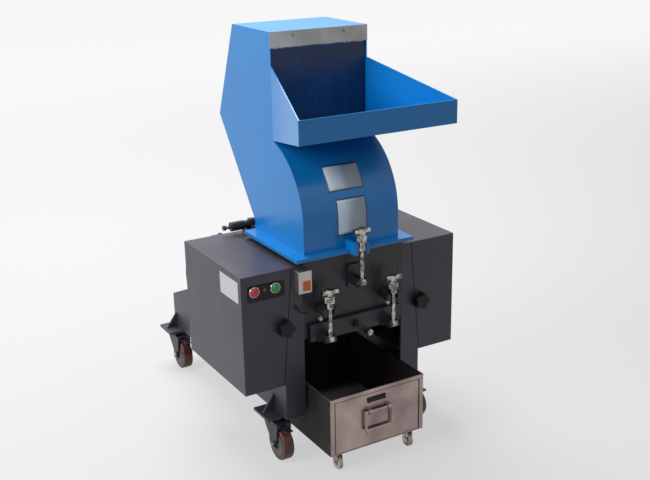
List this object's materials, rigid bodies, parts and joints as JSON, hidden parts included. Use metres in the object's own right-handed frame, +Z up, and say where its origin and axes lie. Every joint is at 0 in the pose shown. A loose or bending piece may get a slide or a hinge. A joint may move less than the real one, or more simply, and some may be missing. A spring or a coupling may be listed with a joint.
{
  "type": "plastic granulator",
  "caption": "Wheeled plastic granulator with a blue feed hopper and tray over a knife chamber, belt drive under side guards and a pull-out granulate bin.",
  "frame": {"origin": "on the floor, under the middle of the machine's bounding box", "axes": "+X to the right of a person who stands at the feed tray, +Y to the back of the machine, +Z up"},
  "size_m": [0.7, 0.99, 1.2],
  "materials": {
    "charcoal_paint": "satin",
    "black_paint": "satin",
    "grey_paint": "satin",
    "machined_steel": "machined",
    "zinc_steel": "zinc plated",
    "black_rubber": "matte",
    "cast_aluminium": "cast",
    "black_plastic": "satin",
    "red_plastic": "gloss",
    "green_plastic": "gloss",
    "blue_paint": "gloss",
    "stainless": "brushed",
    "cream_plastic": "satin",
    "brown_plastic": "satin"
  },
  "bodies": {
    "machine": {"frame_left": "charcoal_paint", "frame_right": "charcoal_paint", "motor_tray": "charcoal_paint", "caster_brackets": "charcoal_paint", "chamber_side_left": "black_paint", "chamber_side_right": "black_paint", "chamber_front_wall": "black_paint", "chamber_rear_wall": "black_paint", "bed_knives": "machined_steel", "chamber_bolts": "zinc_steel", "bearing_housings": "grey_paint", "clamp_brackets": "black_paint", "motor_body": "grey_paint", "belt_cover": "charcoal_paint", "drive_belts": "black_rubber", "switch_body": "cast_aluminium", "switch_cable": "black_rubber", "hopper_hinge_pin": "black_paint"},
    "guard_left_body": {"guard_left": "charcoal_paint", "control_panel": "black_plastic"},
    "guard_right_body": {"guard_right": "charcoal_paint"},
    "knob_left": {"guard_knob_left": "black_plastic"},
    "knob_right": {"guard_knob_right": "black_plastic"},
    "stop": {"stop_button": "red_plastic"},
    "start": {"start_button": "green_plastic"},
    "hopper": {"hopper_body": "blue_paint", "feed_tray": "blue_paint", "hood_strip": "stainless"},
    "curtain": {"feed_curtain": "black_rubber"},
    "hopper_clamp_bolt": {"hopper_eye_bolt": "zinc_steel"},
    "hopper_nut": {"hopper_clamp_nut": "zinc_steel"},
    "cradle": {"screen_cradle": "black_paint", "screen": "machined_steel", "cradle_handle": "zinc_steel"},
    "left_clamp_bolt": {"left_eye_bolt": "zinc_steel"},
    "left_nut": {"left_clamp_nut": "zinc_steel"},
    "right_clamp_bolt": {"right_eye_bolt": "zinc_steel"},
    "right_nut": {"right_clamp_nut": "zinc_steel"},
    "rotor": {"rotor_shaft": "machined_steel", "rotor_hub": "grey_paint", "rotor_knives": "machined_steel", "drive_pulley": "grey_paint", "flywheel": "grey_paint"},
    "motor_rotor": {"motor_pulley": "grey_paint"},
    "plunger": {"switch_plunger": "black_plastic"},
    "bin_body": {"bin": "stainless", "bin_caster_brackets": "zinc_steel"},
    "bail": {"bin_handle": "zinc_steel"},
    "bin_roller_fl": {"bin_wheel_fl": "cream_plastic"},
    "swivel_fl": {"caster_fork_fl": "black_paint"},
    "roller_fl": {"caster_wheel_fl": "brown_plastic"},
    "bin_roller_fr": {"bin_wheel_fr": "cream_plastic"},
    "swivel_fr": {"caster_fork_fr": "black_paint"},
    "roller_fr": {"caster_wheel_fr": "brown_plastic"},
    "bin_roller_rl": {"bin_wheel_rl": "cream_plastic"},
    "swivel_rl": {"caster_fork_rl": "black_paint"},
    "roller_rl": {"caster_wheel_rl": "brown_plastic"},
    "bin_roller_rr": {"bin_wheel_rr": "cream_plastic"},
    "swivel_rr": {"caster_fork_rr": "black_paint"},
    "roller_rr": {"caster_wheel_rr": "brown_plastic"}
  },
  "joints": [
    {"name": "guard_left_hinge", "type": "hinge", "parent": "machine", "child": "guard_left_body", "pos_m": [-0.232, 0.03, 0.42], "axis": [0, 0, -1], "range_deg": [0, 60]},
    {"name": "guard_right_hinge", "type": "hinge", "parent": "machine", "child": "guard_right_body", "pos_m": [0.232, 0.03, 0.42], "axis": [0, 0, 1], "range_deg": [0, 90]},
    {"name": "knob_left_turn", "type": "hinge", "parent": "guard_left_body", "child": "knob_left", "pos_m": [-0.226, -0.35, 0.425], "axis": [0, 1, 0], "continuous": true},
    {"name": "knob_right_turn", "type": "hinge", "parent": "guard_right_body", "child": "knob_right", "pos_m": [0.226, -0.35, 0.408], "axis": [0, 1, 0], "continuous": true},
    {"name": "stop_press", "type": "slide", "parent": "guard_left_body", "child": "stop", "axis": [0, 1, 0], "range_m": [0, 0.004], "stiffness_N_per_m": 2000, "springref_m": -0.003},
    {"name": "start_press", "type": "slide", "parent": "guard_left_body", "child": "start", "axis": [0, 1, 0], "range_m": [0, 0.004], "stiffness_N_per_m": 2000, "springref_m": -0.003},
    {"name": "hopper_tilt", "type": "hinge", "parent": "machine", "child": "hopper", "pos_m": [0, -0.005, 0.618], "axis": [-1, 0, 0], "range_deg": [0, 75]},
    {"name": "hopper_eye_swing", "type": "hinge", "parent": "machine", "child": "hopper_clamp_bolt", "pos_m": [0, -0.395, 0.522], "axis": [1, 0, 0], "range_deg": [0, 112.5]},
    {"name": "hopper_nut_turn", "type": "hinge", "parent": "hopper_clamp_bolt", "child": "hopper_nut", "pos_m": [0, -0.395, 0.65], "axis": [0, 0, 1], "continuous": true},
    {"name": "curtain_swing", "type": "hinge", "parent": "hopper", "child": "curtain", "pos_m": [0, -0.18, 1.1547], "axis": [1, 0, 0], "range_deg": [0, 55]},
    {"name": "cradle_drop", "type": "hinge", "parent": "machine", "child": "cradle", "pos_m": [0, -0.082, 0.425], "axis": [1, 0, 0], "range_deg": [0, 45]},
    {"name": "left_eye_swing", "type": "hinge", "parent": "cradle", "child": "left_clamp_bolt", "pos_m": [-0.105, -0.395, 0.375], "axis": [1, 0, 0], "range_deg": [0, 58.5]},
    {"name": "right_eye_swing", "type": "hinge", "parent": "cradle", "child": "right_clamp_bolt", "pos_m": [0.105, -0.395, 0.375], "axis": [1, 0, 0], "range_deg": [0, 58.5]},
    {"name": "left_nut_turn", "type": "hinge", "parent": "left_clamp_bolt", "child": "left_nut", "pos_m": [-0.105, -0.395, 0.49], "axis": [0, 0, 1], "continuous": true},
    {"name": "right_nut_turn", "type": "hinge", "parent": "right_clamp_bolt", "child": "right_nut", "pos_m": [0.105, -0.395, 0.49], "axis": [0, 0, 1], "continuous": true},
    {"name": "rotor_spin", "type": "hinge", "parent": "machine", "child": "rotor", "pos_m": [0, -0.2, 0.48], "axis": [1, 0, 0], "continuous": true},
    {"name": "motor_spin", "type": "hinge", "parent": "machine", "child": "motor_rotor", "pos_m": [-0.13, 0.145, 0.416], "axis": [1, 0, 0], "continuous": true},
    {"name": "plunger_press", "type": "slide", "parent": "machine", "child": "plunger", "axis": [0, 0, -1], "range_m": [0, 0.005], "stiffness_N_per_m": 400, "springref_m": -0.004},
    {"name": "bin_slide", "type": "slide", "parent": "machine", "child": "bin_body", "axis": [0, -1, 0], "range_m": [-0.14, 0.45]},
    {"name": "bin_handle_lift", "type": "hinge", "parent": "bin_body", "child": "bail", "pos_m": [0, -0.482, 0.168], "axis": [-1, 0, 0], "range_deg": [0, 100]},
    {"name": "bin_roller_fl_spin", "type": "hinge", "parent": "bin_body", "child": "bin_roller_fl", "pos_m": [-0.12, -0.451, 0.019], "axis": [1, 0, 0], "continuous": true},
    {"name": "bin_roller_fr_spin", "type": "hinge", "parent": "bin_body", "child": "bin_roller_fr", "pos_m": [0.12, -0.451, 0.019], "axis": [1, 0, 0], "continuous": true},
    {"name": "bin_roller_rl_spin", "type": "hinge", "parent": "bin_body", "child": "bin_roller_rl", "pos_m": [-0.12, -0.075, 0.019], "axis": [1, 0, 0], "continuous": true},
    {"name": "bin_roller_rr_spin", "type": "hinge", "parent": "bin_body", "child": "bin_roller_rr", "pos_m": [0.12, -0.075, 0.019], "axis": [1, 0, 0], "continuous": true},
    {"name": "swivel_fl_turn", "type": "hinge", "parent": "machine", "child": "swivel_fl", "pos_m": [-0.226, -0.274, 0.118], "axis": [0, 0, 1], "range_deg": [-220, 40]},
    {"name": "roller_fl_spin", "type": "hinge", "parent": "swivel_fl", "child": "roller_fl", "pos_m": [-0.226, -0.312, 0.05], "axis": [1, 0, 0], "continuous": true},
    {"name": "swivel_fr_turn", "type": "hinge", "parent": "machine", "child": "swivel_fr", "pos_m": [0.226, -0.274, 0.118], "axis": [0, 0, 1], "range_deg": [-50, 210]},
    {"name": "roller_fr_spin", "type": "hinge", "parent": "swivel_fr", "child": "roller_fr", "pos_m": [0.2326, -0.31142, 0.05], "axis": [0.9848, 0.1736, 0], "continuous": true},
    {"name": "swivel_rl_turn", "type": "hinge", "parent": "machine", "child": "swivel_rl", "pos_m": [-0.226, 0.45, 0.118], "axis": [0, 0, 1], "continuous": true},
    {"name": "roller_rl_spin", "type": "hinge", "parent": "swivel_rl", "child": "roller_rl", "pos_m": [-0.226, 0.412, 0.05], "axis": [1, 0, 0], "continuous": true},
    {"name": "swivel_rr_turn", "type": "hinge", "parent": "machine", "child": "swivel_rr", "pos_m": [0.226, 0.45, 0.118], "axis": [0, 0, 1], "continuous": true},
    {"name": "roller_rr_spin", "type": "hinge", "parent": "swivel_rr", "child": "roller_rr", "pos_m": [0.20994, 0.41556, 0.05], "axis": [0.9063, -0.4226, 0], "continuous": true}
  ],
  "couplings": [
    {"joint": "hopper_eye_swing", "follows": "hopper_tilt", "ratio": 1.5},
    {"joint": "left_eye_swing", "follows": "cradle_drop", "ratio": 1.3},
    {"joint": "right_eye_swing", "follows": "cradle_drop", "ratio": 1.3},
    {"joint": "motor_spin", "follows": "rotor_spin", "ratio": 2.4103}
  ]
}
